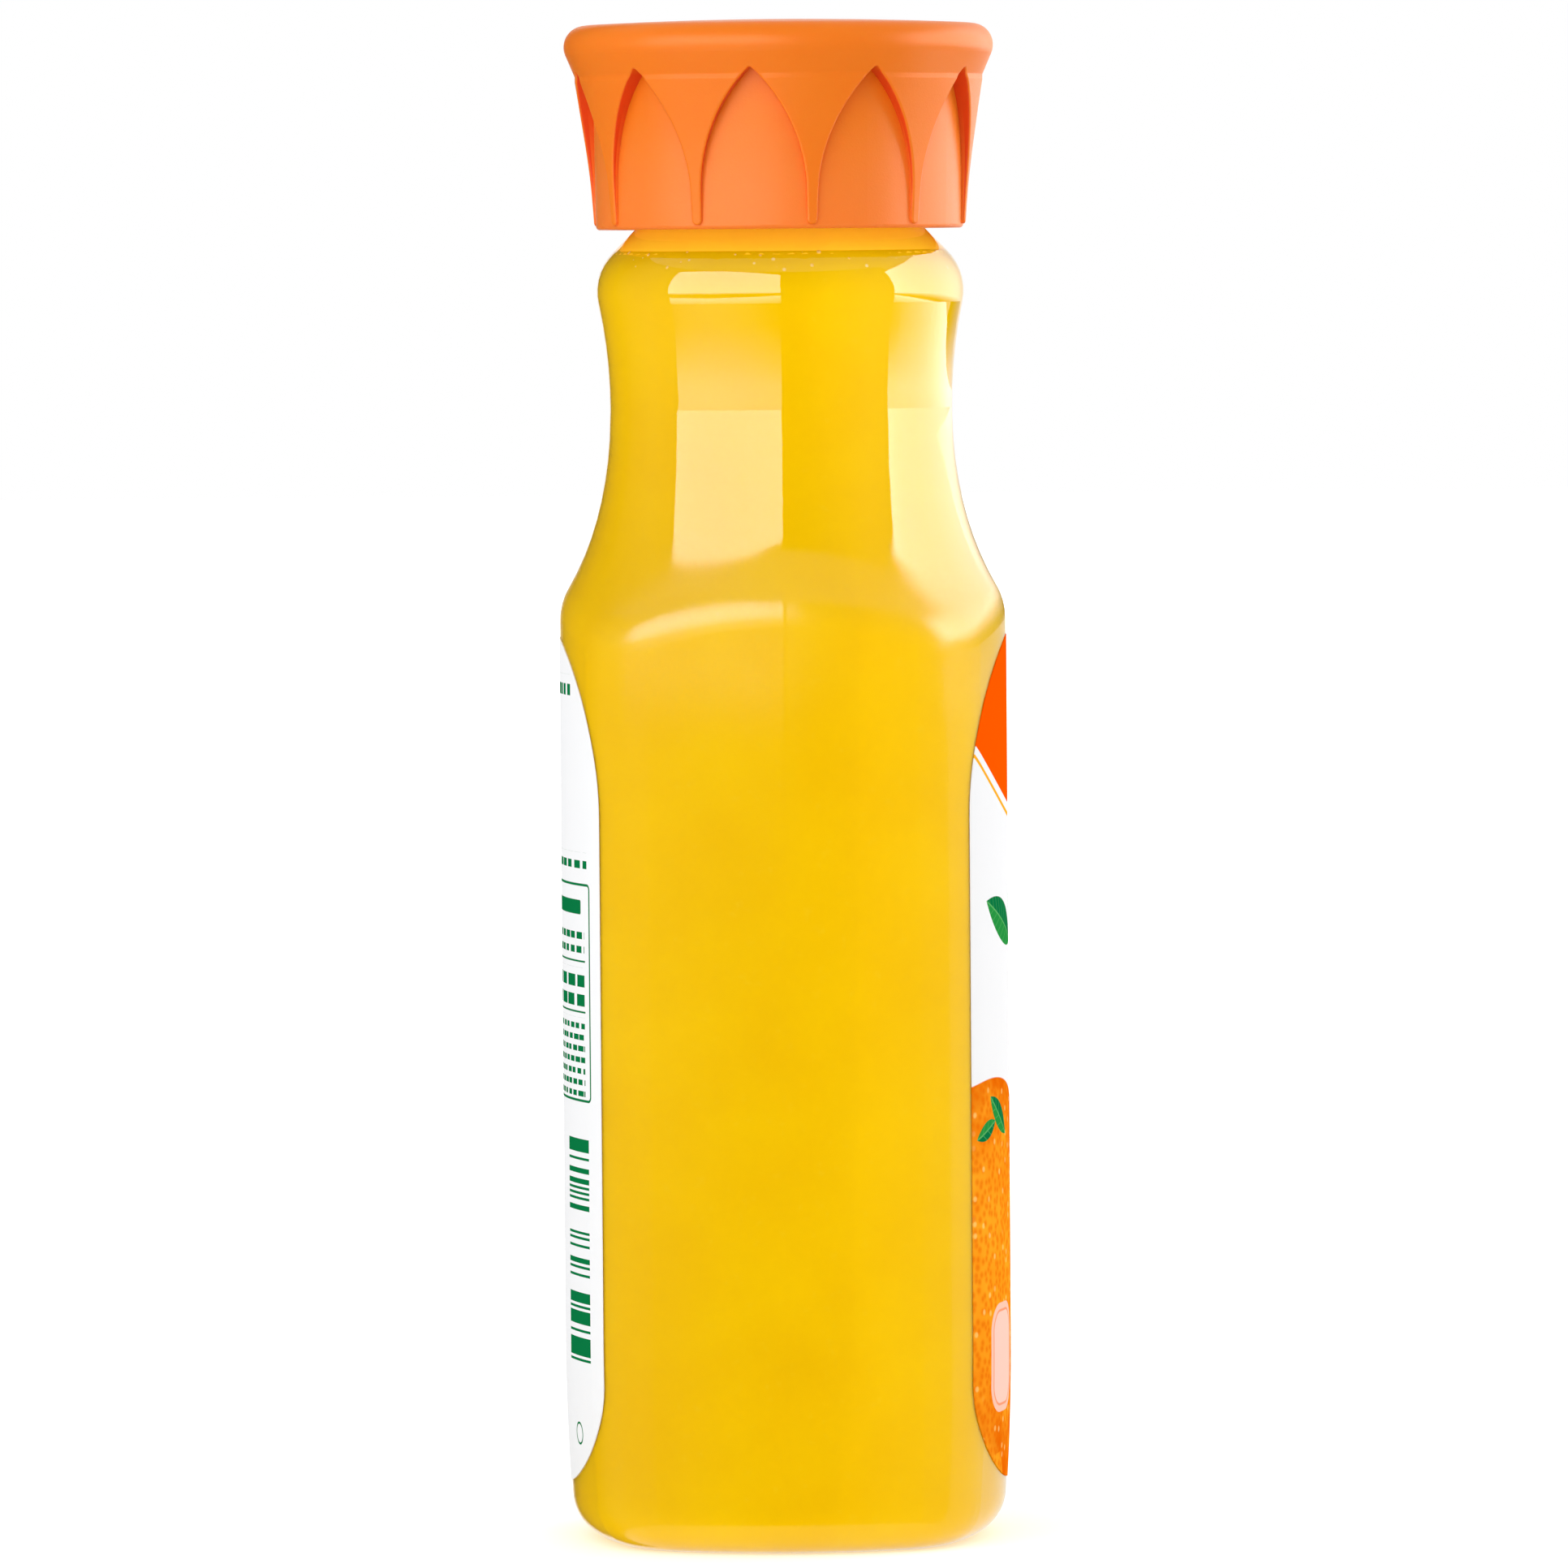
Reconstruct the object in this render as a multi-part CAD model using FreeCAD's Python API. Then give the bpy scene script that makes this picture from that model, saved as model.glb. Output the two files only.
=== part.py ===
import FreeCAD, Part
import math
import os

# Single-serve bottle of orange juice: a clear moulded bottle with four bowed panels, a waisted
# round neck and a flared cap, filled with juice to just above its collar.
# Millimetres, +Z up.  The origin is the centre of the base on the surface the bottle stands on.
# +X is the front label, -X the back label, and the mould parts along the middle of the Y panels.

Vector = FreeCAD.Vector
UP = Vector(0, 0, 1)

# ---- bottle body ---------------------------------------------------------------------------
total_height = 189.3        # from the floor to the middle of the cap's top face
panel_half_width = 27.8     # from the axis to the middle of a panel
panel_bow_radius = 41.5     # each panel bows outwards on this radius
corner_radius = 15.0        # rounding between two panels
wall = 0.45                 # thickness of the blown wall

# ---- base ----------------------------------------------------------------------------------
heel_radius = 5.7           # rounding from the standing ring to the foot
foot_tuck = 1.1             # how far the foot draws in, measured at floor level
foot_height = 25.0          # the panels are upright above this height
standing_ring_width = 5.9   # flat ring between the heel and the push-up, at the middle of a panel
push_up_height = 2.6        # how far the middle of the base is raised
push_up_lip = 1.2           # rounding round the rim of the push-up

# ---- neck finish, hidden in the cap -----------------------------------------------------------
finish_radius = 17.8
finish_wall = 1.4

# ---- collar, waist and shoulder, from the cap down ---------------------------------------------
collar_step = 5.08          # how far the collar stands out past the finish
collar_drop = 7.72          # from the cap's bottom edge down to the widest place
collar_rounding = 7.0       # section radius of the collar
collar_slope_deg = 45.0     # slope from the collar up to the finish
waist_depth = 1.53          # how far the waist draws in from the collar
waist_drop = 14.55          # from the widest place of the collar down to the waist
waist_pull = 15.5           # how far the curve stays upright below the waist
shoulder_drop = 28.75       # from the waist down to the end of the shoulder curve
shoulder_margin = 1.6       # the shoulder curve ends this far outside the corners
shoulder_pull = 6.0         # how far the curve holds its slope of 45 degrees there
shoulder_blend = 8.0        # rounding along the arched edge between shoulder and panels

# ---- juice -----------------------------------------------------------------------------------
fill_drop = 3.42            # from the cap's bottom edge down to the surface of the juice

# ---- cap -------------------------------------------------------------------------------------
cap_height = 26.03
cap_top_thickness = 2.2     # down to the face that seals on the mouth
dome_radius = 480.0         # the top face is very slightly domed
sleeve_clearance = 0.5      # from the inner sleeve to the neck finish
sleeve_wall = 1.3
sleeve_rise = 0.9           # the sleeve ends this far above the skirt
hollow_width = 2.1          # from the sleeve to the skirt
skirt_wall = 1.2            # thickness behind the recess floor, at the bottom edge
skirt_edge = 0.5            # rounding of the bottom edge
skirt_flare = 2.1           # how far the skirt widens up to the rim
skirt_half_flare = 0.82     # how far it has widened half way up
rim_overhang = 1.35         # how far the rim stands out past the skirt
rim_rounding = 2.65
rim_flank_deg = 23.0        # the rim draws in below its widest place
rim_drop = 7.6              # from the middle of the top face down to the foot of the rim

# ---- arched recesses round the cap -------------------------------------------------------------
arch_count = 10
arch_turn_deg = -98.0       # direction of the first arch, counted from +X
arch_drop = 6.1             # from the middle of the top face down to the tip of an arch
arch_rise = 15.2            # height of the pointed part
rib_depth = 0.4             # how far the ribs stand out at their foot
rib_half_width = 0.6
rib_rise = 0.48             # the ribs end this far above the cap's bottom edge
recess_lean = 0.25          # the recess floor is this much further out at the top
recess_overlap = 0.3        # neighbouring recesses run into each other by this under the ribs
arch_edge = 0.3             # rounding of the arches and ribs along the outside of the skirt

# ---- labels ----------------------------------------------------------------------------------
label_thickness = 0.1
label_side_margin = 8.55    # from the label's side edge to the widest place of the bottle
label_drop = 28.4           # from the waist down to the tip of the label
label_top_rise = 22.2       # height of the rounded upper end
label_bottom = 7.2
label_bottom_rise = 13.8    # height of the rounded lower end
label_roundness = 2.2       # exponent of the rounded ends, 2 would be an ellipse
label_end_points = 15       # points on each half of a rounded end

# ---- places and sizes that follow from the ones above -------------------------------------------
cap_bottom = total_height - cap_height
mouth_height = total_height - cap_top_thickness
collar_radius = finish_radius + collar_step
collar_height = cap_bottom - collar_drop
waist_radius = collar_radius - waist_depth
waist_height = collar_height - waist_drop
shoulder_height = waist_height - shoulder_drop
fill_height = cap_bottom - fill_drop
sleeve_radius = finish_radius + sleeve_clearance + sleeve_wall
hollow_radius = sleeve_radius + hollow_width
recess_radius = hollow_radius + skirt_wall
skirt_foot_radius = recess_radius + rib_depth
skirt_top_radius = skirt_foot_radius + skirt_flare
skirt_top_height = total_height - rim_drop
rim_radius = skirt_top_radius + rim_overhang
arch_apex = total_height - arch_drop
arch_spring = arch_apex - arch_rise
arch_half_width = recess_radius * math.sin(math.pi / arch_count) - rib_half_width
rib_foot = cap_bottom + rib_rise
label_half_width = panel_half_width - label_side_margin
label_top = waist_height - label_drop
label_top_spring = label_top - label_top_rise
label_bottom_spring = label_bottom + label_bottom_rise


def arc(start, middle, end):
    return Part.Arc(start, middle, end).toShape()


def line(start, end):
    return Part.LineSegment(start, end).toShape()


def on_circle(centre, radius, angle):
    """Point of a circle in the XZ plane, with the angle in radians from +X."""
    return Vector(centre[0] + radius * math.cos(angle), 0, centre[1] + radius * math.sin(angle))


def section_arc(centre, radius, start, end):
    """Arc in the XZ plane about a centre given as (x, z)."""
    angles = (start, (start + end) / 2, end)
    return arc(*[on_circle(centre, radius, angle) for angle in angles])


def revolved(edges):
    """Solid of revolution about the Z axis of a closed outline in the XZ plane."""
    return Part.Face(Part.Wire(edges)).revolve(Vector(), UP, 360)


# ---- plan of the body --------------------------------------------------------------------------
def corner_centre():
    """Distance of the centre of a corner's rounding from the middle, along X and along Y."""
    bow_centre = panel_half_width - panel_bow_radius
    gap = panel_bow_radius - corner_radius
    return (bow_centre + math.sqrt(2 * gap ** 2 - bow_centre ** 2)) / 2


def plan_arcs():
    """The eight arcs of the bowed square, as (centre x, centre y, radius, start, sweep) in degrees."""
    bow_centre = panel_half_width - panel_bow_radius
    corner = corner_centre()
    half_bow = math.degrees(math.atan2(corner, corner - bow_centre))
    arcs = []
    for turn in range(4):
        direction = math.radians(90 * turn)
        arcs.append((bow_centre * math.cos(direction), bow_centre * math.sin(direction),
                     panel_bow_radius, 90 * turn - half_bow, 2 * half_bow))
        diagonal = direction + math.pi / 4
        arcs.append((corner * math.sqrt(2) * math.cos(diagonal), corner * math.sqrt(2) * math.sin(diagonal),
                     corner_radius, 90 * turn + half_bow, 90 - 2 * half_bow))
    return arcs


def plan_outline(offset, height):
    """Flat face bounded by the plan, moved out by offset, at a height."""
    edges = []
    for centre_x, centre_y, radius, start, sweep in plan_arcs():
        points = []
        for step in (0, 0.5, 1):
            angle = math.radians(start + step * sweep)
            reach = radius + offset
            points.append(Vector(centre_x + reach * math.cos(angle), centre_y + reach * math.sin(angle), height))
        edges.append(arc(*points))
    return Part.Face(Part.Wire(edges))


def body_side(radius, inset, top):
    """Side of the body against the axis of one plan arc, and the radius where it meets the base."""
    tuck_radius = (foot_height ** 2 + foot_tuck ** 2) / (2 * foot_tuck)
    tuck_centre = (radius - tuck_radius, foot_height)
    run = math.sqrt((tuck_radius - heel_radius) ** 2 - (foot_height - heel_radius) ** 2)
    heel_centre = (tuck_centre[0] + run, heel_radius)
    join = math.atan2(heel_radius - foot_height, run)
    heel = section_arc(heel_centre, heel_radius - inset, -math.pi / 2, join)
    tuck = section_arc(tuck_centre, tuck_radius - inset, join, 0)
    upright = line(Vector(radius - inset, 0, foot_height), Vector(radius - inset, 0, top))
    return Part.Wire([heel, tuck, upright]), heel_centre[0]


def panelled_form(inset, top):
    """The four-panelled body with its foot and heel, carried straight up to the given height."""
    faces = []
    for centre_x, centre_y, radius, start, sweep in plan_arcs():
        side, base_radius = body_side(radius, inset, top)
        side.rotate(Vector(), UP, start)
        strip = side.revolve(Vector(), UP, sweep)
        strip.translate(Vector(centre_x, centre_y, 0))
        faces.extend(strip.Faces)
    faces.append(plan_outline(base_radius - radius, inset))
    faces.append(plan_outline(-inset, top))
    shell = Part.makeShell(faces)
    shell.sewShape()
    form = Part.Solid(shell)
    if form.Volume < 0:
        form.reverse()
    return form


# ---- neck ----------------------------------------------------------------------------------
def neck_outline(inset, bore_radius, top):
    """Outline of the turned upper part: shoulder, waist, collar and finish."""
    slope = math.radians(collar_slope_deg)
    collar_centre = (collar_radius - collar_rounding, collar_height)
    rise = collar_height - waist_height
    step = waist_radius - collar_centre[0]
    waist_arc_radius = (step ** 2 + rise ** 2 - collar_rounding ** 2) / (2 * (collar_rounding - step))
    waist_centre = (waist_radius + waist_arc_radius, waist_height)
    join = math.atan2(collar_centre[1] - waist_centre[1], collar_centre[0] - waist_centre[0])

    slant = inset * math.sqrt(0.5)
    reach = corner_centre() * math.sqrt(2) + corner_radius + shoulder_margin
    foot = Vector(reach - slant, 0, shoulder_height - slant)
    pull = shoulder_pull * math.sqrt(0.5)
    shoulder = Part.BezierCurve()
    shoulder.setPoles([
        foot,
        foot + Vector(-pull, 0, pull),
        Vector(waist_radius - inset, 0, waist_height - waist_pull),
        Vector(waist_radius - inset, 0, waist_height)])
    waist = section_arc(waist_centre, waist_arc_radius + inset, math.pi, join)
    collar = section_arc(collar_centre, collar_rounding - inset, join - math.pi, slope)
    crest = on_circle(collar_centre, collar_rounding - inset, slope)
    finish_foot = Vector(bore_radius, 0, crest.z + (crest.x - bore_radius) / math.tan(slope))
    mouth = Vector(bore_radius, 0, top)
    edge_foot = Vector(foot.x, 0, 0)
    return [
        line(Vector(), edge_foot), line(edge_foot, foot), shoulder.toShape(), waist, collar,
        line(crest, finish_foot), line(finish_foot, mouth),
        line(mouth, Vector(0, 0, top)), line(Vector(0, 0, top), Vector())]


def push_up(inset):
    """Ball that raises the middle of the base."""
    bow_centre = panel_half_width - panel_bow_radius
    push_up_radius = bow_centre + body_side(panel_bow_radius, 0, total_height)[1] - standing_ring_width
    ball_radius = (push_up_radius ** 2 + push_up_height ** 2) / (2 * push_up_height)
    return Part.makeSphere(ball_radius + inset, Vector(0, 0, push_up_height - ball_radius))


def bottle_form(inset, bore_radius, top):
    """Outside of the bottle when inset is 0, and its cavity when inset is the wall."""
    neck = revolved(neck_outline(inset, bore_radius, top))
    form = panelled_form(inset, top + 1).common(neck)
    arched = [edge for edge in form.Edges if is_shoulder_edge(edge, inset)]
    form = form.makeFillet(shoulder_blend - inset, arched).cut(push_up(inset))
    lips = [edge for edge in form.Edges if is_push_up_lip(edge, inset)]
    return form.makeFillet(push_up_lip - inset, lips)


def is_shoulder_edge(edge, inset):
    """True for the edges where the turned shoulder cuts the panels."""
    box = edge.BoundBox
    level = box.ZLength < 0.3 * (waist_height - shoulder_height)
    high_enough = box.ZMin > shoulder_height - shoulder_pull
    outside = math.hypot(*edge.valueAt(edge.FirstParameter)[:2]) > panel_half_width - inset - 0.01
    return level and high_enough and outside and box.ZMax < waist_height


def is_push_up_lip(edge, inset):
    """True for the round edge where the push-up leaves the standing ring."""
    flat = edge.BoundBox.ZMax < inset + wall / 10
    return flat and isinstance(edge.Curve, Part.Circle) and math.hypot(*edge.Curve.Center[:2]) < wall / 10


# ---- cap -------------------------------------------------------------------------------------
def cap_outline():
    """Outline of the turned cap before the recesses are cut."""
    rim_x = rim_radius - rim_rounding
    dome_z = total_height - dome_radius
    rim_z = dome_z + math.sqrt((dome_radius - rim_rounding) ** 2 - rim_x ** 2)
    dome_edge = math.atan2(rim_z - dome_z, rim_x)
    flank = -math.radians(rim_flank_deg)
    dome = section_arc((0, dome_z), dome_radius, math.pi / 2, dome_edge)
    rim = section_arc((rim_x, rim_z), rim_rounding, dome_edge, flank)
    flank_top = on_circle((rim_x, rim_z), rim_rounding, flank)
    flank_drop = (flank_top.x - skirt_top_radius) / math.tan(-flank)
    flank_foot = Vector(skirt_top_radius, 0, flank_top.z - flank_drop)
    skirt_top = Vector(skirt_top_radius, 0, skirt_top_height)
    skirt_foot = Vector(skirt_foot_radius, 0, cap_bottom)
    half_way = Vector(skirt_foot_radius + skirt_half_flare, 0, (skirt_top_height + cap_bottom + rib_rise) / 2)
    skirt = arc(skirt_top, half_way, skirt_foot)
    centre_foot = Vector(0, 0, cap_bottom)
    return [
        dome, rim, line(flank_top, flank_foot), line(flank_foot, skirt_top), skirt,
        line(skirt_foot, centre_foot), line(centre_foot, Vector(0, 0, total_height))]


def recess_floor():
    """Turned body whose side is the floor of the recesses, with the cap's rounded bottom edge."""
    edge_centre = (recess_radius - skirt_edge, cap_bottom + skirt_edge)
    edge = section_arc(edge_centre, skirt_edge, -math.pi / 2, 0)
    low = Vector(edge_centre[0], 0, cap_bottom)
    side = Vector(recess_radius, 0, edge_centre[1])
    high = Vector(recess_radius + recess_lean, 0, arch_apex)
    top = Vector(recess_radius + recess_lean, 0, total_height)
    axis_low = Vector(0, 0, cap_bottom)
    axis_high = Vector(0, 0, total_height)
    return revolved([
        edge, line(side, high), line(high, top), line(top, axis_high), line(axis_high, axis_low),
        line(axis_low, low)])


def arch_outline(x):
    """Pointed arch with straight sides, widening round the rib feet, in the plane of a given x."""
    arch_radius = (arch_half_width ** 2 + arch_rise ** 2) / (2 * arch_half_width)
    foot_half = arch_half_width + rib_half_width + recess_overlap
    below = cap_bottom - rib_rise

    def side(sign):
        centre_y = arch_half_width - arch_radius
        half_angle = math.atan2(arch_rise, -centre_y) / 2
        apex = Vector(x, 0, arch_apex)
        middle = Vector(x, sign * (centre_y + arch_radius * math.cos(half_angle)),
                        arch_spring + arch_radius * math.sin(half_angle))
        spring = Vector(x, sign * arch_half_width, arch_spring)
        rib_top = Vector(x, sign * arch_half_width, rib_foot + rib_half_width)
        turn = rib_half_width * (1 - math.sqrt(0.5))
        rib_turn = Vector(x, sign * (arch_half_width + turn), rib_foot + turn)
        rib_end = Vector(x, sign * (arch_half_width + rib_half_width), rib_foot)
        outer = Vector(x, sign * foot_half, rib_foot)
        outer_low = Vector(x, sign * foot_half, below)
        return [arc(apex, middle, spring), line(spring, rib_top), arc(rib_top, rib_turn, rib_end),
                line(rib_end, outer), line(outer, outer_low)]

    base = line(Vector(x, foot_half, below), Vector(x, -foot_half, below))
    return Part.Face(Part.Wire(Part.__sortEdges__(side(1) + side(-1) + [base])))


def is_arch_edge(edge):
    """True for the edges where the arches and ribs meet the outside of the skirt."""
    box = edge.BoundBox
    middle = edge.valueAt((edge.FirstParameter + edge.LastParameter) / 2)
    floor = recess_radius + recess_lean * (middle.z - cap_bottom) / (arch_apex - cap_bottom)
    outside = math.hypot(middle.x, middle.y) > floor + rib_depth / 2
    return outside and box.ZMin > cap_bottom + rib_rise / 2 and box.ZMax < arch_apex + arch_edge


def cap_solid():
    cap = revolved(cap_outline())
    recess = arch_outline(recess_radius / 2).extrude(Vector(rim_radius, 0, 0)).cut(recess_floor())
    recesses = []
    for number in range(arch_count):
        turned = recess.copy()
        turned.rotate(Vector(), UP, arch_turn_deg + number * 360 / arch_count)
        recesses.append(turned)
    cap = cap.cut(recesses)
    cap = cap.makeFillet(arch_edge, [edge for edge in cap.Edges if is_arch_edge(edge)])

    bottom = Vector(0, 0, cap_bottom)
    sleeve_bottom = Vector(0, 0, cap_bottom + sleeve_rise)
    depth = mouth_height - cap_bottom
    hollow = Part.makeCylinder(hollow_radius, depth, bottom)
    sleeve = Part.makeCylinder(sleeve_radius, depth, sleeve_bottom)
    bore = Part.makeCylinder(finish_radius + sleeve_clearance, depth, bottom)
    return cap.cut(hollow.cut(sleeve)).cut(bore)


# ---- labels ----------------------------------------------------------------------------------
def label_end(x, spring, tip):
    """Rounded end of a label from one side to the other, through its tip."""
    points = []
    for number in range(2 * label_end_points - 1):
        turn = math.pi * number / (2 * label_end_points - 2)
        across = math.copysign(abs(math.cos(turn)) ** (2 / label_roundness), math.cos(turn))
        along = math.sin(turn) ** (2 / label_roundness)
        points.append(Vector(x, label_half_width * across, spring + (tip - spring) * along))
    curve = Part.BSplineCurve()
    curve.interpolate(points)
    return curve.toShape()


def label_solid(turn_deg):
    """Thin label on the panel that faces +X, turned to its own side."""
    x = panel_half_width / 2
    edges = [label_end(x, label_top_spring, label_top), label_end(x, label_bottom_spring, label_bottom)]
    for side in (-label_half_width, label_half_width):
        edges.append(line(Vector(x, side, label_bottom_spring), Vector(x, side, label_top_spring)))
    blank = Part.Face(Part.Wire(Part.__sortEdges__(edges))).extrude(Vector(panel_half_width, 0, 0))
    over = panelled_form(-label_thickness, label_top + 1).common(blank)
    label = over.cut(panelled_form(0, label_top + 2))
    label.rotate(Vector(), UP, turn_deg)
    return label


def main():
    os.makedirs("parts", exist_ok=True)
    outside = bottle_form(0, finish_radius, mouth_height)
    cavity = bottle_form(wall, finish_radius - finish_wall, mouth_height)
    above_juice = Part.makeCylinder(2 * panel_half_width, total_height, Vector(0, 0, fill_height))
    nodes = {
        "bottle": outside.cut(cavity),
        "juice": cavity.cut(above_juice),
        "cap": cap_solid(),
        "label_front": label_solid(0),
        "label_back": label_solid(180),
    }
    for name, shape in nodes.items():
        solids = shape.Solids
        print(name, "solids", len(solids), "valid", shape.isValid(), "volume", round(shape.Volume / 1000, 3), "ml")
        solids[0].exportStep("parts/" + name + ".step")


main()
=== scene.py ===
import math

import bmesh
import bpy
from bpy.props import FloatProperty, FloatVectorProperty, IntProperty, PointerProperty
from mathutils import Matrix, Vector
from mathutils.bvhtree import BVHTree


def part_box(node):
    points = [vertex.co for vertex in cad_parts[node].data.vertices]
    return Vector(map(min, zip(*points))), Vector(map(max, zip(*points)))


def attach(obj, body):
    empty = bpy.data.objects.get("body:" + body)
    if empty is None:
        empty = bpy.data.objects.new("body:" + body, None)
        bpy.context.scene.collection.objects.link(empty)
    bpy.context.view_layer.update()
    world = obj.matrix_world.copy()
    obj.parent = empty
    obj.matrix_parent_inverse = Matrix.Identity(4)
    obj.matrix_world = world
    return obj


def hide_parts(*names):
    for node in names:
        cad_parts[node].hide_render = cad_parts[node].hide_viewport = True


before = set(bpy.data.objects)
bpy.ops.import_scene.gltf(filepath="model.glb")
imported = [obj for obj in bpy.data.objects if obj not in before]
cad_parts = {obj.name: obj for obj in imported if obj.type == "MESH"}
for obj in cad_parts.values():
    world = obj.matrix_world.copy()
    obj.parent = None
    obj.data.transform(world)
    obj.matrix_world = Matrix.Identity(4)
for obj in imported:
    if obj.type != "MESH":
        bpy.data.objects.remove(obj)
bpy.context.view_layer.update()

bl_info = {
    "name": "Bottle of orange juice",
    "version": (1, 0, 0),
    "blender": (4, 5, 0),
    "location": "View3D > Sidebar > Juice",
    "description": "Dresses the bottle, its juice, cap and labels, and sets the studio round them",
    "category": "Object",
}

MM = 0.001
CAP_FOOT, CAP_TOP = (corner[2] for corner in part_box("cap"))
FILL_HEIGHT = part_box("juice")[1][2]

# Heights between which the bottle's finish changes on the way up, and the seam's half width.
SEAM_LEAVES_PANELS = (84 * MM, 100 * MM)
SATIN_SHOULDER = (98 * MM, 112 * MM)
SEAM_REACHES_NECK = (116 * MM, 126 * MM)
POLISHED_NECK = (117 * MM, 128 * MM)
SEAM_HALF_WIDTH = 0.6 * MM

# Widths of the rings from the wall inwards, and how fast the meniscus dies away along them.
MENISCUS_STEPS = (0.25 * MM, 0.3 * MM, 0.4 * MM, 0.6 * MM, 0.9 * MM, 1.4 * MM, 4 * MM)
MENISCUS_REACH = 0.9 * MM

# The film starts in the meniscus, ends inside the cap and is this thick.
FILM_UNDERLAP = 0.4 * MM
FILM_INTO_CAP = 4 * MM
FILM_DEPTH = 0.2 * MM
FILM_COLUMNS, FILM_ROWS = 160, 10

# Band below the surface where bubbles cling, and how flat they lie on the wall.
BUBBLE_BAND = 1.8 * MM
BUBBLE_COLUMNS, BUBBLE_ROWS = 120, 6
BUBBLE_RISE = 0.11 * MM

# Height of the arches' tips on the cap.
ARCH_TIP = CAP_TOP - 6.1 * MM

# Colours of the juice's small parts.
JUICE_PULP, FILM_PULP = (0.95, 0.70, 0.03, 1), (1.0, 0.7, 0.05, 1)
# Colour of the film's painted glow: light painted in where the cap shades the film.
FILM_PAINTED_GLOW = (1.0, 0.45, 0.03, 1)
BUBBLE_COLOURS = ((1.0, 0.62, 0.10, 1), (1.0, 0.78, 0.30, 1))

# Inks of the front label that go with the ones in its settings.
STRIPE_INK = (1.0, 0.42, 0.02, 1)
PEEL_BRIGHT, PEEL_DEEP = (1.0, 0.33), (0.78, 0.12)
PEEL_PATCH, PEEL_PORE, PEEL_GLINT = (1.0, 0.43, 0.02, 1), (0.80, 0.13, 0.0, 1), (1.0, 0.72, 0.22, 1)
LEAF_LIT, LEAF_VEIN = (0.02, 0.27, 0.05, 1), (0.10, 0.42, 0.12, 1)
BADGE_EDGE, BADGE_LINE, BADGE_BLANK = (1.0, 0.55, 0.42, 1), (1.0, 0.33, 0.18, 1), (1.0, 0.60, 0.50, 1)

# Artwork of the labels, in millimetres from the label's middle and from the floor. The head's edge
# climbs from the middle to the sides by the bow times the square of the distance.
HEAD_EDGE, HEAD_BOW = 91.5, 0.024
ORANGES = (  # centre, radius, brightness
    ((-11.0, 8.0), 17.0, 0.92), ((11.0, 22.5), 24.0, 1.0), ((-13.5, 34.5), 23.5, 0.96))
FRONT_LEAVES = (  # centre, turn, half length, half width
    ((-8.6, 77.2), 2.75, 7.4, 2.5), ((8.6, 77.2), 0.39, 7.4, 2.5), ((0.0, 79.4), 1.571, 5.6, 2.2),
    ((-11.2, 53.2), 2.5, 4.2, 1.5), ((-15.6, 51.6), 0.35, 3.0, 1.1))
BACK_LEAVES = (((-8.0, 37.0), 1.1, 9.0, 3.4), ((-3.5, 30.0), 0.35, 6.5, 2.5))
BACK_RULES = (  # centre, half size, rounding
    ((0.0, 79.6), (14.5, 0.9), 0.3), ((0.0, 72.9), (15.8, 0.12), 0.05), ((0.0, 66.6), (15.8, 0.12), 0.05))
BACK_DASHES = (  # centre, half size, row pitch, dash pitch, inked share of a row
    ((0.0, 75.6), (15.6, 1.7), 1.75, 2.6, 0.5), ((0.0, 69.7), (15.6, 2.4), 2.4, 4.4, 0.62),
    ((0.0, 61.0), (15.6, 4.9), 1.4, 2.2, 0.5), ((0.0, 85.4), (16.5, 1.0), 2.0, 3.1, 0.5),
    ((0.0, 107.0), (11.0, 1.3), 2.6, 2.4, 0.55))
BAR_PITCH = 0.33

# The floor, and where the softboxes stand and aim.
FLOOR_HALF = 6
SOFTBOX_SIZE = (1.3, 0.9)
SOFTBOX_DISTANCE, SOFTBOX_HEIGHT, SOFTBOX_AIM = 1.0, 0.45, 0.10


# ---- values that a user would change ---------------------------------
class BottleSettings(bpy.types.PropertyGroup):
    clearness: FloatVectorProperty(
        name="Clear plastic", description="Colour that light keeps on its way through the wall",
        size=3, subtype="COLOR", min=0, max=1, default=(1.0, 0.995, 0.975))
    seam_height: FloatProperty(
        name="Mould seam", description="How far the parting line of the mould stands out",
        default=0.00003, min=0, unit="LENGTH", precision=6)
    waviness: FloatProperty(
        name="Waviness", description="Depth of the slow waves that blowing leaves in the wall",
        default=0.00022, min=0, unit="LENGTH", precision=6)
    panel_roughness: FloatProperty(
        name="Panel roughness", description="Roughness of the panels", default=0.13, min=0, max=1)
    shoulder_roughness: FloatProperty(
        name="Shoulder roughness", description="Roughness of the satin shoulders", default=0.235,
        min=0, max=1)
    neck_roughness: FloatProperty(
        name="Neck roughness", description="Roughness of the polished neck", default=0.015, min=0, max=1)


class JuiceSettings(bpy.types.PropertyGroup):
    colour: FloatVectorProperty(
        name="Juice", description="Colour of the juice", size=3, subtype="COLOR", min=0, max=1,
        default=(0.925, 0.605, 0.0015))
    # Painted light: the film glows by this much, standing in for the light that the cap's shade keeps from
    # it.
    film_painted_glow: FloatProperty(
        name="Light through the film", default=0.36, min=0,
        description="Strength of the light that the wet film passes on from behind")
    film_colour: FloatVectorProperty(
        name="Wet film", description="Colour of the thin film above the juice", size=3,
        subtype="COLOR", min=0, max=1, default=(1.0, 0.56, 0.02))
    into_wall: FloatProperty(
        name="Into the wall", default=0.00015, min=0, unit="LENGTH", precision=6,
        description="How far the juice reaches into the wall, so that no air shows")
    meniscus: FloatProperty(
        name="Meniscus", description="How far the surface climbs up the wall",
        default=0.0006, min=0, unit="LENGTH", precision=5)
    bubble_count: IntProperty(
        name="Bubbles", description="Bubbles that cling to the wall below the surface", default=110, min=0)
    bubble_radius: FloatProperty(
        name="Bubble size", description="Radius of the largest bubbles", default=0.0003, min=0,
        unit="LENGTH", precision=5)


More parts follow.
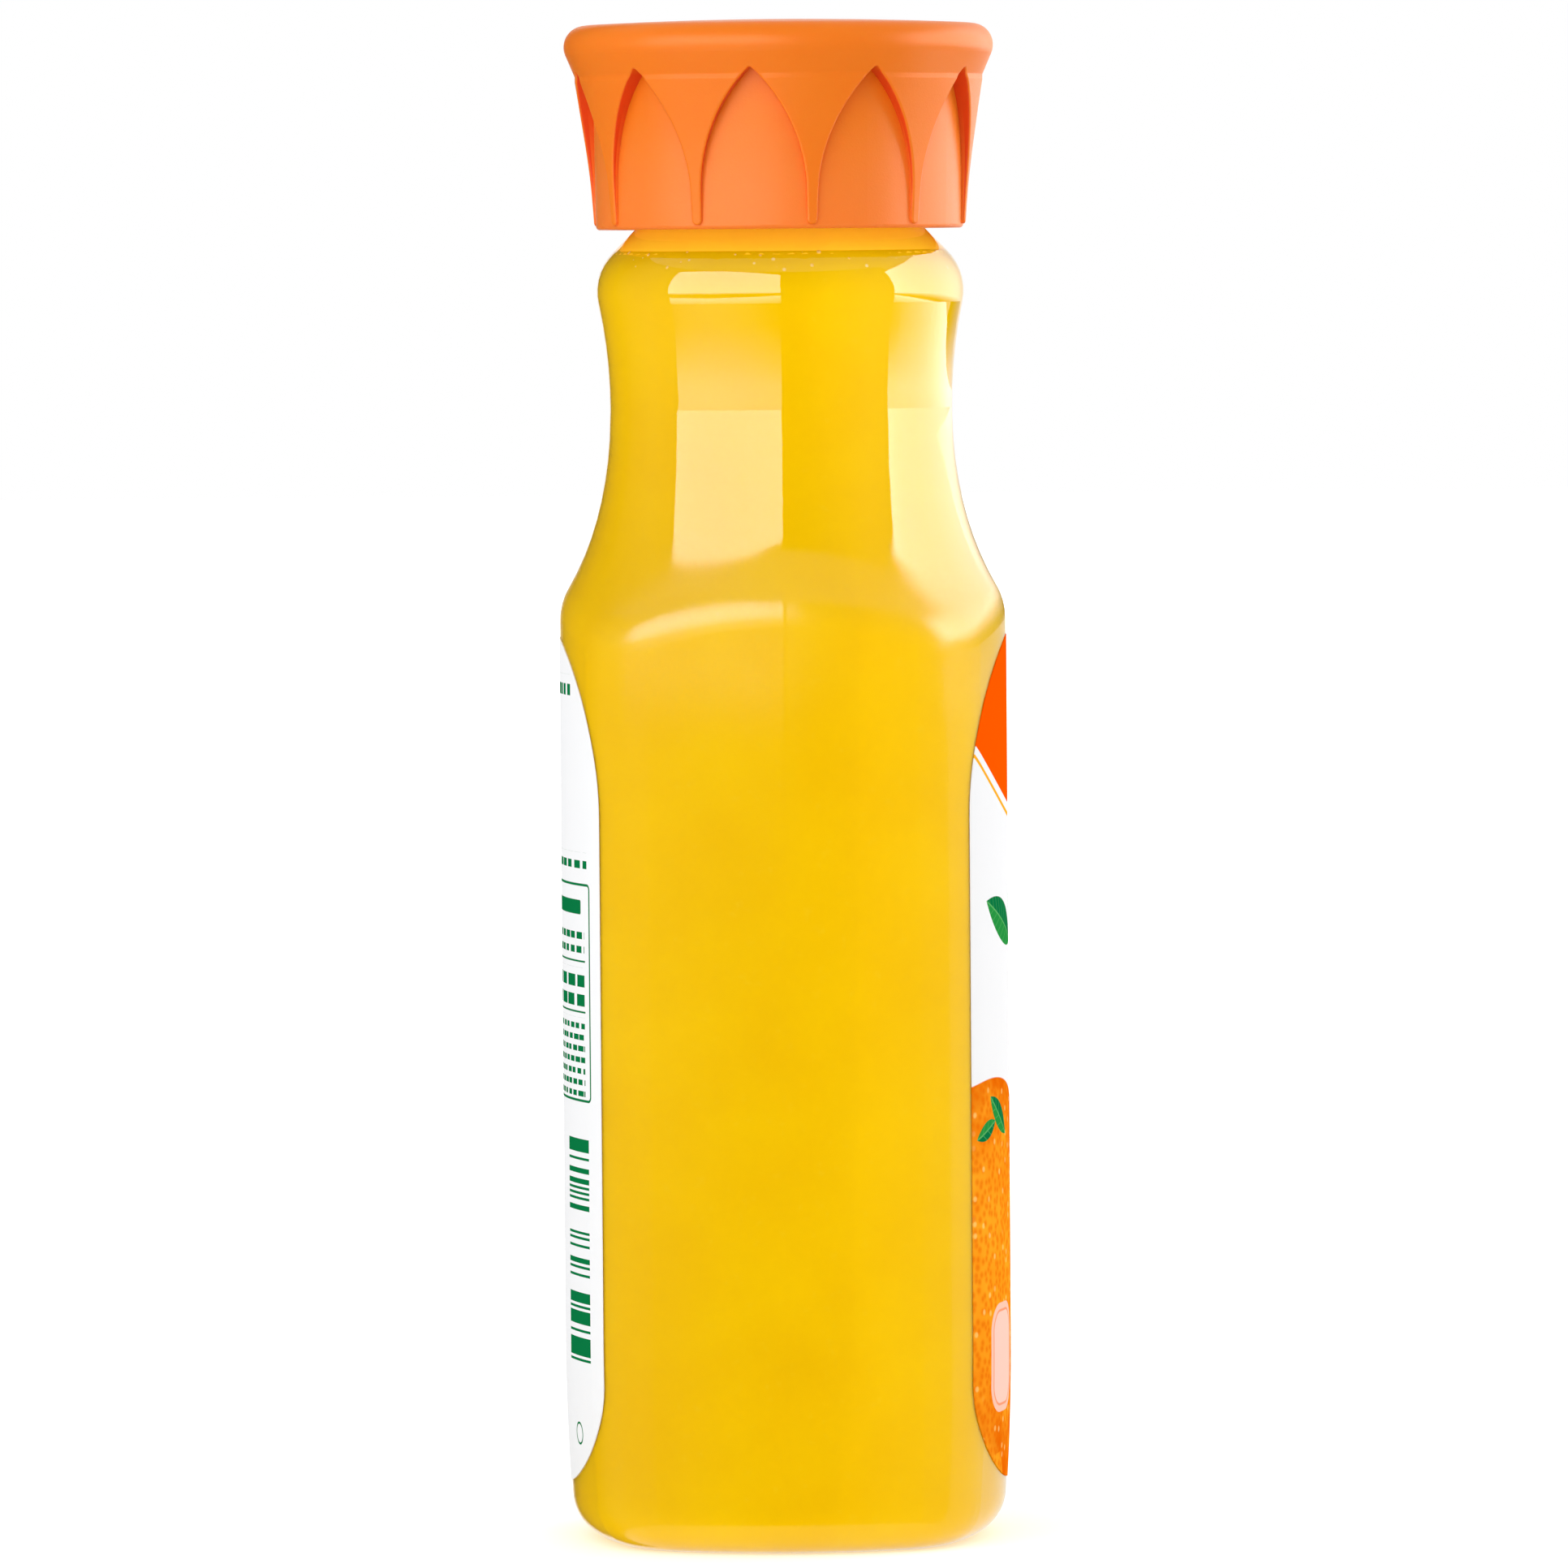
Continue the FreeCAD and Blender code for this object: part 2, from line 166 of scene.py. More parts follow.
class CapSettings(bpy.types.PropertyGroup):
    colour: FloatVectorProperty(
        name="Cap", description="Colour of the moulded cap", size=3, subtype="COLOR", min=0, max=1,
        default=(0.80, 0.178, 0.008))
    # Painted shade: a deeper colour painted on the recess walls below the arches' tips.
    shade: FloatVectorProperty(
        name="Recess walls", size=3, subtype="COLOR", min=0, max=1, default=(0.72, 0.07, 0.009),
        description="Deeper colour of the walls of the recesses, where light is caught")
    # Painted light: a paler colour painted low on the recess floors, standing in for the light that the
    # thin plastic catches and passes on.
    thin: FloatVectorProperty(
        name="Recess floors", description="Paler colour low on the floors, where the wall is thin",
        size=3, subtype="COLOR", min=0, max=1, default=(0.85, 0.20, 0.026))
    floor_radius: FloatProperty(
        name="Floor radius", description="Radius between the recess floors and the skirt at its foot",
        default=0.0231, min=0, unit="LENGTH", precision=5)
    grain: FloatProperty(
        name="Grain", description="Depth of the fine moulded grain", default=0.00002, min=0,
        unit="LENGTH", precision=6)


class LabelSettings(bpy.types.PropertyGroup):
    film: FloatVectorProperty(
        name="Film", description="White of the label film", size=3, subtype="COLOR", min=0, max=1,
        default=(0.86, 0.865, 0.875))
    orange: FloatVectorProperty(
        name="Orange ink", description="Colour of the field at the top", size=3, subtype="COLOR",
        min=0, max=1, default=(1.0, 0.092, 0.0))
    green: FloatVectorProperty(
        name="Green ink", description="Colour of the leaves and of the small print marks", size=3,
        subtype="COLOR", min=0, max=1, default=(0.003, 0.17, 0.05))


class StageSettings(bpy.types.PropertyGroup):
    camera_distance: FloatProperty(
        name="Camera distance", description="From the camera to the bottle's axis", default=1.4, min=0.1,
        unit="LENGTH")
    camera_height: FloatProperty(
        name="Camera height", description="Height of the camera above the floor", default=0.1605,
        unit="LENGTH")
    camera_pitch: FloatProperty(
        name="Camera pitch", description="How far the camera looks down", default=math.radians(2.72),
        unit="ROTATION")
    camera_roll: FloatProperty(
        name="Camera roll", description="How far the camera is turned about its own line of sight",
        default=math.radians(-0.45), unit="ROTATION")
    lens: FloatProperty(
        name="Lens", description="Focal length on a 36 mm sensor, in millimetres", default=257.5, min=1)
    surroundings: FloatProperty(
        name="Surroundings", description="Light of the surroundings, where 1 is the white that is seen",
        default=0.78, min=0)
    floor_shade: FloatProperty(
        name="Floor shade", description="Brightness of the floor close to the bottle, where 1 is white",
        default=0.36, min=0)
    floor_light: FloatProperty(
        name="Floor light", description="Light that the floor throws up into the clear plastic",
        default=0.9, min=0)


# ---- node helpers ----------------------------------------------------
class Tree:
    """Short calls for the nodes of one tree."""

    def __init__(self, tree):
        self.tree = tree

    def node(self, kind, **values):
        made = self.tree.nodes.new(kind)
        for name, value in values.items():
            setattr(made, name, value)
        return made

    def put(self, value, socket):
        """Links a socket or sets a plain value."""
        if isinstance(value, bpy.types.NodeSocket):
            self.tree.links.new(value, socket)
        else:
            socket.default_value = value

    def math(self, operation, *values, clamp=False):
        made = self.node("ShaderNodeMath", operation=operation, use_clamp=clamp)
        for value, socket in zip(values, made.inputs):
            self.put(value, socket)
        return made.outputs[0]

    def times(self, first, second):
        return self.math("MULTIPLY", first, second)

    def plus(self, first, second):
        return self.math("ADD", first, second)

    def minus(self, first, second):
        return self.math("SUBTRACT", first, second)

    def mix(self, share, first, second):
        """Mixes two colours."""
        made = self.node("ShaderNodeMix", data_type="RGBA")
        self.put(share, made.inputs[0])
        self.put(first, made.inputs[6])
        self.put(second, made.inputs[7])
        return made.outputs[2]

    def ramp(self, value, low, high, to_low=0.0, to_high=1.0, smooth=False):
        """Goes from one value to another while the input goes from low to high."""
        made = self.node("ShaderNodeMapRange", interpolation_type="SMOOTHSTEP" if smooth else "LINEAR")
        for given, socket in zip((value, low, high, to_low, to_high), made.inputs):
            self.put(given, socket)
        return made.outputs[0]

    def noise(self, vector, scale, detail=2.0):
        made = self.node("ShaderNodeTexNoise")
        self.put(vector, made.inputs["Vector"])
        self.put(scale, made.inputs["Scale"])
        made.inputs["Detail"].default_value = detail
        return made.outputs[0]

    def length(self, vector):
        made = self.node("ShaderNodeVectorMath", operation="LENGTH")
        self.put(vector, made.inputs[0])
        return made.outputs["Value"]

    def dot(self, first, second):
        made = self.node("ShaderNodeVectorMath", operation="DOT_PRODUCT")
        self.put(first, made.inputs[0])
        self.put(second, made.inputs[1])
        return made.outputs["Value"]

    def line(self, distance, half_width, soft=0.08):
        """1 within half a width of where the distance is 0, fading to 0 over the soft edge."""
        return self.ramp(self.math("ABSOLUTE", distance), half_width, half_width + soft, 1.0, 0.0)

    def split(self, vector):
        made = self.node("ShaderNodeSeparateXYZ")
        self.put(vector, made.inputs[0])
        return made.outputs

    def join(self, x, y, z):
        made = self.node("ShaderNodeCombineXYZ")
        for value, socket in zip((x, y, z), made.inputs):
            self.put(value, socket)
        return made.outputs[0]

    def group(self, name, **values):
        made = self.node("ShaderNodeGroup")
        made.node_tree = bpy.data.node_groups[name]
        for key, value in values.items():
            self.put(value, made.inputs[key.replace("_", " ")])
        return made.outputs

    def bump(self, height):
        """Normal from a height given in metres."""
        made = self.node("ShaderNodeBump")
        self.put(height, made.inputs["Height"])
        made.inputs["Distance"].default_value = 1.0
        made.inputs["Strength"].default_value = 1.0
        return made.outputs[0]


def new_group(name, inputs, outputs):
    """Empty shader node group with sockets given as (name, socket type, default)."""
    tree = bpy.data.node_groups.new(name, "ShaderNodeTree")
    for label, kind, default in inputs:
        socket = tree.interface.new_socket(label, in_out="INPUT", socket_type=kind)
        socket.default_value = default
    for label, kind in outputs:
        tree.interface.new_socket(label, in_out="OUTPUT", socket_type=kind)
    build = Tree(tree)
    return build, build.node("NodeGroupInput").outputs, build.node("NodeGroupOutput").inputs


def new_material(name):
    """Material with a plain Principled shader, and its object coordinates."""
    material = bpy.data.materials.new(name)
    material.use_nodes = True
    build = Tree(material.node_tree)
    shader = next(node for node in material.node_tree.nodes if node.type == "BSDF_PRINCIPLED")
    place = build.node("ShaderNodeTexCoord").outputs["Object"]
    return material, build, shader.inputs, place


def bare_tree(owner):
    """Empty node tree of a material or a world."""
    owner.use_nodes = True
    owner.node_tree.nodes.clear()
    return Tree(owner.node_tree)


def make_matt(shader, roughness):
    """Plain roughness without any gloss."""
    shader["Roughness"].default_value = roughness
    shader["Specular IOR Level"].default_value = 0.0


def wear(node_name, material):
    """Gives a CAD node its material."""
    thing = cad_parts[node_name]
    thing.data.materials.clear()
    thing.data.materials.append(material)


FLOAT, VECTOR = "NodeSocketFloat", "NodeSocketVector"
PLACED = [(name, FLOAT, 0) for name in ("Across", "Up", "Centre across", "Centre up")]


# ---- shared effects --------------------------------------------------
def inked(build, distance, edge):
    """1 inside an outline, where the distance is under 0, and 0 outside, over a soft edge."""
    half_edge = build.times(edge, 0.5)
    return build.ramp(distance, build.times(half_edge, -1.0), half_edge, 1.0, 0.0)


def build_field_group():
    """Field with rounded corners: 1 inside, 0 outside, with a soft ink edge."""
    build, given, result = new_group(
        "Rounded field",
        PLACED + [("Half width", FLOAT, 1), ("Half height", FLOAT, 1), ("Rounding", FLOAT, 0.5),
                  ("Edge", FLOAT, 0.08)],
        [("Mask", FLOAT), ("Distance", FLOAT)])
    sides = []
    for axis, half in (("Across", "Half width"), ("Up", "Half height")):
        offset = build.minus(given[axis], given["Centre " + axis.lower()])
        beyond = build.minus(build.math("ABSOLUTE", offset), given[half])
        sides.append(build.plus(beyond, given["Rounding"]))
    outside = build.length(build.join(*(build.math("MAXIMUM", side, 0.0) for side in sides), 0.0))
    inside = build.math("MINIMUM", build.math("MAXIMUM", *sides), 0.0)
    distance = build.minus(build.plus(outside, inside), given["Rounding"])
    build.put(inked(build, distance, given["Edge"]), result["Mask"])
    build.put(distance, result["Distance"])


def build_leaf_group():
    """Pointed leaf: the overlap of two discs, with a midrib, side veins and two halves."""
    build, given, result = new_group(
        "Leaf",
        PLACED + [("Turn", FLOAT, 0), ("Half length", FLOAT, 6), ("Half width", FLOAT, 2),
                  ("Edge", FLOAT, 0.08)],
        [("Mask", FLOAT), ("Vein", FLOAT), ("Side", FLOAT)])
    x = build.minus(given["Across"], given["Centre across"])
    y = build.minus(given["Up"], given["Centre up"])
    cosine = build.math("COSINE", given["Turn"])
    sine = build.math("SINE", given["Turn"])
    along = build.plus(build.times(x, cosine), build.times(y, sine))
    aside = build.minus(build.times(y, cosine), build.times(x, sine))
    length, width = given["Half length"], given["Half width"]
    squares = build.plus(build.times(length, length), build.times(width, width))
    radius = build.math("DIVIDE", squares, build.times(width, 2.0))
    reach = build.minus(radius, width)
    from_midrib = build.math("ABSOLUTE", aside)
    span = build.length(build.join(along, build.plus(from_midrib, reach), 0.0))
    build.put(inked(build, build.minus(span, radius), given["Edge"]), result["Mask"])
    slanted = build.minus(along, build.times(from_midrib, 0.9))
    ribs = build.ramp(build.math("PINGPONG", slanted, 0.75), 0.03, 0.13, 0.55, 0.0)
    midrib = build.line(aside, 0.05, 0.11)
    build.put(build.math("MAXIMUM", midrib, ribs), result["Vein"])
    build.put(build.ramp(aside, -0.05, 0.05), result["Side"])


def build_peel_group():
    """Orange peel: pores, slow colour changes and small bright spots."""
    build, given, result = new_group(
        "Orange peel", [("Place", VECTOR, (0, 0, 0)), ("Pore size", FLOAT, 0.9)],
        [("Pores", FLOAT), ("Patches", FLOAT), ("Glints", FLOAT)])
    scaled = build.node("ShaderNodeVectorMath", operation="SCALE")
    build.put(given["Place"], scaled.inputs[0])
    build.put(build.math("DIVIDE", 1.0, given["Pore size"]), scaled.inputs["Scale"])
    cells = build.node("ShaderNodeTexVoronoi", feature="SMOOTH_F1", voronoi_dimensions="2D")
    build.put(scaled.outputs[0], cells.inputs["Vector"])
    cells.inputs["Scale"].default_value = 1.0
    cells.inputs["Smoothness"].default_value = 0.35
    build.put(build.ramp(cells.outputs["Distance"], 0.05, 0.62, 0.0, 1.0, smooth=True), result["Pores"])
    build.put(build.noise(given["Place"], 0.16, 3.0), result["Patches"])
    drops = build.node("ShaderNodeTexVoronoi", feature="F1", voronoi_dimensions="2D")
    build.put(scaled.outputs[0], drops.inputs["Vector"])
    drops.inputs["Scale"].default_value = 0.62
    lit = build.ramp(drops.outputs["Distance"], 0.10, 0.26, 1.0, 0.0, smooth=True)
    chosen = build.ramp(build.split(drops.outputs["Color"])[0], 0.68, 0.78)
    build.put(build.times(lit, chosen), result["Glints"])


def build_grain_group():
    """Moulded surface: a fine grain and slow patches, both from 0 to 1."""
    build, given, result = new_group(
        "Moulded grain", [("Place", VECTOR, (0, 0, 0)), ("Grains per metre", FLOAT, 4000)],
        [("Grain", FLOAT), ("Patches", FLOAT)])
    build.put(build.noise(given["Place"], given["Grains per metre"], 3.0), result["Grain"])
    build.put(build.ramp(build.noise(given["Place"], 70.0, 2.0), 0.3, 0.7), result["Patches"])


def build_dash_group():
    """Rows of plain dashes that stand for small print, with no letters in them."""
    build, given, result = new_group(
        "Dash rows",
        [("Along", FLOAT, 0), ("Row", FLOAT, 0), ("Row pitch", FLOAT, 2), ("Dash pitch", FLOAT, 3),
         ("Share", FLOAT, 0.45)],
        [("Mask", FLOAT)])
    row = build.math("DIVIDE", given["Row"], given["Row pitch"])
    number = build.math("FLOOR", row)
    shift = build.node("ShaderNodeTexWhiteNoise", noise_dimensions="1D")
    build.put(number, shift.inputs["W"])
    along = build.math("DIVIDE", given["Along"], given["Dash pitch"])
    place = build.plus(along, build.times(shift.outputs["Value"], 7.0))
    dash = build.math("FLOOR", place)
    chance = build.node("ShaderNodeTexWhiteNoise", noise_dimensions="2D")
    build.put(build.join(dash, number, 0.0), chance.inputs["Vector"])
    long = build.ramp(chance.outputs["Value"], 0.0, 1.0, 0.62, 0.93)
    within = build.math("LESS_THAN", build.math("FRACT", place), long)
    tall = build.math("LESS_THAN", build.math("FRACT", row), given["Share"])
    build.put(build.times(within, tall), result["Mask"])


# ---- bottle ----------------------------------------------------------
class JUICE_OT_bottle(bpy.types.Operator):
    """Give the bottle its clear plastic, with the mould's parting line and slight waves"""
    bl_idname = "juice.bottle"
    bl_label = "Clear bottle"

    def execute(self, context):
        values = context.scene.bottle_settings
        material, build, shader, place = new_material("clear_bottle")
        shader["Base Color"].default_value = (*values.clearness, 1)
        shader["Transmission Weight"].default_value = 1.0
        shader["IOR"].default_value = 1.36
        x, y, z = build.split(place)
        seam = build.ramp(build.math("ABSOLUTE", x), 0.0, SEAM_HALF_WIDTH, 1.0, 0.0, smooth=True)
        seam = build.times(seam, build.ramp(z, *SEAM_LEAVES_PANELS, 0.3, 1.0, smooth=True))
        seam = build.times(seam, build.ramp(z, *SEAM_REACHES_NECK, 1.0, 0.2, smooth=True))
        waves = build.noise(place, 38.0, 1.0)
        height = build.plus(build.times(seam, values.seam_height), build.times(waves, values.waviness))
        build.put(build.bump(height), shader["Normal"])
        satin = build.ramp(
            z, *SATIN_SHOULDER, values.panel_roughness, values.shoulder_roughness, smooth=True)
        neck = build.ramp(z, *POLISHED_NECK, smooth=True)
        polish = build.ramp(neck, 0.0, 1.0, satin, values.neck_roughness)
        specks = build.ramp(build.noise(place, 900.0), 0.3, 0.8, 0.0, 0.02)
        build.put(build.plus(polish, specks), shader["Roughness"])
        wear("bottle", material)
        return {"FINISHED"}


# ---- juice -----------------------------------------------------------
def bottle_wall():
    """Search tree of the bottle's faces, to find its inside."""
    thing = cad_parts["bottle"]
    mesh = bmesh.new()
    mesh.from_mesh(thing.data)
    tree = BVHTree.FromBMesh(mesh)
    mesh.free()
    return tree


def wall_point(wall, height, turn, extra):
    """Point on the inside of the wall, moved out by extra."""
    start = Vector((0, 0, height))
    hit = wall.ray_cast(start, Vector((math.cos(turn), math.sin(turn), 0)))[0]
    if hit is None:
        raise RuntimeError("no wall found at height %.4f" % height)
    reach = (hit - start).length + extra
    return Vector((reach * math.cos(turn), reach * math.sin(turn), height))


def link_object(name, data):
    thing = bpy.data.objects.new(name, data)
    bpy.context.scene.collection.objects.link(thing)
    return thing


def new_piece(name, data):
    """Finished piece of juice that rides on the bottle."""
    piece = link_object(name, data)
    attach(piece, "root")
    return piece


def finished_mesh(name, mesh, material):
    """Plain mesh from mesh code, smooth but for its sharp corners."""
    bmesh.ops.recalc_face_normals(mesh, faces=mesh.faces)
    for face in mesh.faces:
        face.smooth = True
    for edge in mesh.edges:
        edge.smooth = edge.calc_face_angle(0.0) < math.radians(40)
    data = bpy.data.meshes.new(name)
    mesh.to_mesh(data)
    mesh.free()
    data.materials.append(material)
    return data


def ring_of(mesh, wall, height, extra, count):
    """Ring of points on the inside of the wall, moved out by extra."""
    turns = [2 * math.pi * number / count for number in range(count)]
    return [mesh.verts.new(wall_point(wall, height, turn, extra)) for turn in turns]


def skin(mesh, first, second):
    """Band of faces between two rings."""
    count = len(first)
    for number in range(count):
        after = (number + 1) % count
        mesh.faces.new((first[number], first[after], second[after], second[number]))


def juice_without_top(into_wall):
    """Copy of the juice, swollen a little into the wall and open at its surface."""
    mesh = bmesh.new()
    mesh.from_mesh(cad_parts["juice"].data)
    bmesh.ops.remove_doubles(mesh, verts=mesh.verts, dist=1e-6)
    mesh.normal_update()
    surface = FILL_HEIGHT - 0.1 * MM
    top = [face for face in mesh.faces
           if face.normal.z > 0.9 and face.calc_center_median().z > surface]
    bmesh.ops.delete(mesh, geom=top, context="FACES")
    mesh.normal_update()
    for vertex in mesh.verts:
        vertex.co += vertex.normal * into_wall
    return mesh


def add_meniscus(mesh, wall, rise, into_wall):
    """Closes the juice with a surface that climbs at the wall."""
    rim = [edge for edge in mesh.edges if edge.is_boundary]
    for vertex in {vertex for edge in rim for vertex in edge.verts}:
        turn = math.atan2(vertex.co.y, vertex.co.x)
        vertex.co = wall_point(wall, FILL_HEIGHT + rise, turn, into_wall)
    inward = 0.0
    for step in MENISCUS_STEPS:
        inward += step
        height = FILL_HEIGHT + rise * math.exp(-inward / MENISCUS_REACH)
        made = bmesh.ops.extrude_edge_only(mesh, edges=rim)["geom"]
        for vertex in (item for item in made if isinstance(item, bmesh.types.BMVert)):
            flat = Vector((vertex.co.x, vertex.co.y, 0))
            vertex.co = flat.normalized() * (flat.length - step) + Vector((0, 0, height))
        rim = [item for item in made if isinstance(item, bmesh.types.BMEdge)]
    bmesh.ops.contextual_create(mesh, geom=rim)


class JUICE_OT_juice(bpy.types.Operator):
    """Fill the bottle with juice that meets the wall, with its meniscus"""
    bl_idname = "juice.juice"
    bl_label = "Juice"

    def execute(self, context):
        values = context.scene.juice_settings
        mesh = juice_without_top(values.into_wall)
        add_meniscus(mesh, bottle_wall(), values.meniscus, values.into_wall)

        material, build, shader, place = new_material("orange_juice")
        grain = build.group("Moulded grain", Place=place, Grains_per_metre=900.0)
        deeper = tuple(channel * share for channel, share in zip(values.colour, (0.97, 0.93, 1.0)))
        cloud = build.mix(grain["Patches"], (*values.colour, 1), (*deeper, 1))
        pulp = build.ramp(grain["Grain"], 0.62, 0.8, 0.0, 0.25)
        build.put(build.mix(pulp, cloud, JUICE_PULP), shader["Base Color"])
        make_matt(shader, 0.5)
        piece = new_piece("juice_fill", finished_mesh("juice_fill", mesh, material))
        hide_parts("juice")
        return {"FINISHED"}


class JUICE_OT_film(bpy.types.Operator):
    """Coat the neck above the juice with the thin film that clings to it"""
    bl_idname = "juice.film"
    bl_label = "Wet film"

    def execute(self, context):
        values = context.scene.juice_settings
        wall = bottle_wall()
        mesh = bmesh.new()
        low = FILL_HEIGHT + values.meniscus - FILM_UNDERLAP
        high = CAP_FOOT + FILM_INTO_CAP
        outer, inner = [], []
        for row in range(FILM_ROWS + 1):
            height = low + (high - low) * row / FILM_ROWS
            outer.append(ring_of(mesh, wall, height, values.into_wall - 0.03 * MM, FILM_COLUMNS))
            inner.append(ring_of(mesh, wall, height, -FILM_DEPTH, FILM_COLUMNS))
        for row in range(FILM_ROWS):
            skin(mesh, outer[row], outer[row + 1])
            skin(mesh, inner[row + 1], inner[row])
        skin(mesh, inner[0], outer[0])
        skin(mesh, outer[-1], inner[-1])

        material, build, shader, place = new_material("juice_film")
        grain = build.group("Moulded grain", Place=place, Grains_per_metre=1500.0)
        x, y, z = build.split(place)
        streaks = build.noise(build.join(x, y, 0.0), 160.0, 3.0)
        red, green, blue = values.film_colour
        lighter = (red, min(1, green * 1.15), blue, 1)
        # Paler towards the juice and deeper towards the cap.
        paler_low = build.ramp(z, FILL_HEIGHT, high, 0.8, 0.0)
        streaky = build.times(build.ramp(streaks, 0.35, 0.7), 0.3)
        share = build.math("ADD", streaky, paler_low, clamp=True)
        tone = build.mix(share, (*values.film_colour, 1), lighter)
        pulp = build.ramp(grain["Grain"], 0.6, 0.8, 0.0, 0.3)
        build.put(build.mix(pulp, tone, FILM_PULP), shader["Base Color"])
        make_matt(shader, 0.45)
        # Painted light: the film glows, standing in for the light it lacks under the cap.
        shader["Emission Color"].default_value = FILM_PAINTED_GLOW
        shader["Emission Strength"].default_value = values.film_painted_glow
        new_piece("juice_film", finished_mesh("juice_film", mesh, material))
        return {"FINISHED"}


def bubble_tree():
    """Geometry nodes: small flattened balls on a band of faces, sized at random."""
    tree = bpy.data.node_groups.new("Clinging bubbles", "GeometryNodeTree")
    face = tree.interface
    face.new_socket("Geometry", in_out="INPUT", socket_type="NodeSocketGeometry")
    for name, kind, default in (
            ("Density", FLOAT, 1000.0), ("Largest radius", FLOAT, 0.0003), ("Seed", "NodeSocketInt", 7),
            ("Material", "NodeSocketMaterial", None)):
        socket = face.new_socket(name, in_out="INPUT", socket_type=kind)
        if default is not None:
            socket.default_value = default
    face.new_socket("Geometry", in_out="OUTPUT", socket_type="NodeSocketGeometry")
    build = Tree(tree)
    given = build.node("NodeGroupInput").outputs
    scatter = build.node("GeometryNodeDistributePointsOnFaces", distribute_method="RANDOM")
    for name, socket in (("Geometry", "Mesh"), ("Density", "Density"), ("Seed", "Seed")):
        build.put(given[name], scatter.inputs[socket])
    ball = build.node("GeometryNodeMeshIcoSphere")
    ball.inputs["Radius"].default_value = 1.0
    ball.inputs["Subdivisions"].default_value = 2
    size = build.node("FunctionNodeRandomValue", data_type="FLOAT")
    size.inputs[2].default_value = 0.22
    size.inputs[3].default_value = 1.0
    build.put(given["Seed"], size.inputs["Seed"])
    power = build.times(build.math("POWER", size.outputs[1], 2.0), given["Largest radius"])
    flat = build.join(power, power, build.math("MINIMUM", power, BUBBLE_RISE))
    place = build.node("GeometryNodeInstanceOnPoints")
    for name in ("Points", "Rotation"):
        build.put(scatter.outputs[name], place.inputs[name])
    build.put(ball.outputs["Mesh"], place.inputs["Instance"])
    build.put(flat, place.inputs["Scale"])
    real = build.node("GeometryNodeRealizeInstances")
    build.put(place.outputs["Instances"], real.inputs[0])
    dress = build.node("GeometryNodeSetMaterial")
    build.put(real.outputs[0], dress.inputs["Geometry"])
    build.put(given["Material"], dress.inputs["Material"])
    build.put(dress.outputs[0], build.node("NodeGroupOutput").inputs[0])
    return tree


def run_tree(tree, base, values):
    """Plain mesh that a geometry node tree makes from a base mesh, with inputs given by name."""
    thing = link_object(base.name, base)
    modifier = thing.modifiers.new("build", "NODES")
    modifier.node_group = tree
    for item in tree.interface.items_tree:
        if item.in_out == "INPUT" and item.name in values:
            modifier[item.identifier] = values[item.name]
    graph = bpy.context.evaluated_depsgraph_get()
    made = bpy.data.meshes.new_from_object(thing.evaluated_get(graph))
    thing.modifiers.clear()
    bpy.data.objects.remove(thing)
    return made


class JUICE_OT_bubbles(bpy.types.Operator):
    """Scatter the small bubbles that cling to the wall at the surface of the juice"""
    bl_idname = "juice.bubbles"
    bl_label = "Bubbles"

    def execute(self, context):
        values = context.scene.juice_settings
        wall = bottle_wall()
        mesh = bmesh.new()
        low = FILL_HEIGHT - BUBBLE_BAND
        high = FILL_HEIGHT + values.meniscus
        heights = [low + (high - low) * row / BUBBLE_ROWS for row in range(BUBBLE_ROWS + 1)]
        rings = [ring_of(mesh, wall, height, values.into_wall - 0.02 * MM, BUBBLE_COLUMNS)
                 for height in heights]
        for first, second in zip(rings, rings[1:]):
            skin(mesh, first, second)
        bmesh.ops.recalc_face_normals(mesh, faces=mesh.faces)
        area = sum(face.calc_area() for face in mesh.faces)
        base = bpy.data.meshes.new("bubble_band")
        mesh.to_mesh(base)
        mesh.free()

        material, build, shader, place = new_material("bubbles")
        pale = build.ramp(build.noise(place, 600.0), 0.35, 0.65)
        build.put(build.mix(pale, *BUBBLE_COLOURS), shader["Base Color"])
        shader["Roughness"].default_value = 0.25
        made = run_tree(bubble_tree(), base, {
            "Density": values.bubble_count / area, "Largest radius": values.bubble_radius, "Seed": 11,
            "Material": material})
        made.name = "juice_bubbles"
        for polygon in made.polygons:
            polygon.use_smooth = True
        new_piece("juice_bubbles", made)
        return {"FINISHED"}


# ---- cap -------------------------------------------------------------
def recess_wall_shade(build, x, y, z):
    """1 on the walls of the recesses, which face sideways instead of outwards: where the painted shade
    goes.
    """
    outward = build.node("ShaderNodeVectorMath", operation="NORMALIZE")
    build.put(build.join(x, y, 0.0), outward.inputs[0])
    facing = build.dot(outward.outputs[0], build.node("ShaderNodeTexCoord").outputs["Normal"])
    wall = build.ramp(facing, 0.15, 0.75, 1.0, 0.0, smooth=True)
    below_tips = build.ramp(z, ARCH_TIP - 0.9 * MM, ARCH_TIP + 0.6 * MM, 1.0, 0.0)
    return build.times(wall, below_tips)


def recess_floor_sheen(build, x, y, z, radius):
    """Up to 1 low on the floors of the recesses, which lie inside the flared skirt: where the painted
    light goes.
    """
    skirt = build.ramp(z, CAP_FOOT, CAP_TOP, radius, radius + 1.2 * MM)
    floor = build.math("LESS_THAN", build.length(build.join(x, y, 0.0)), skirt)
    low = build.ramp(z, CAP_FOOT + 3 * MM, ARCH_TIP - 2.9 * MM, 1.0, 0.0, smooth=True)
    return build.times(floor, low)


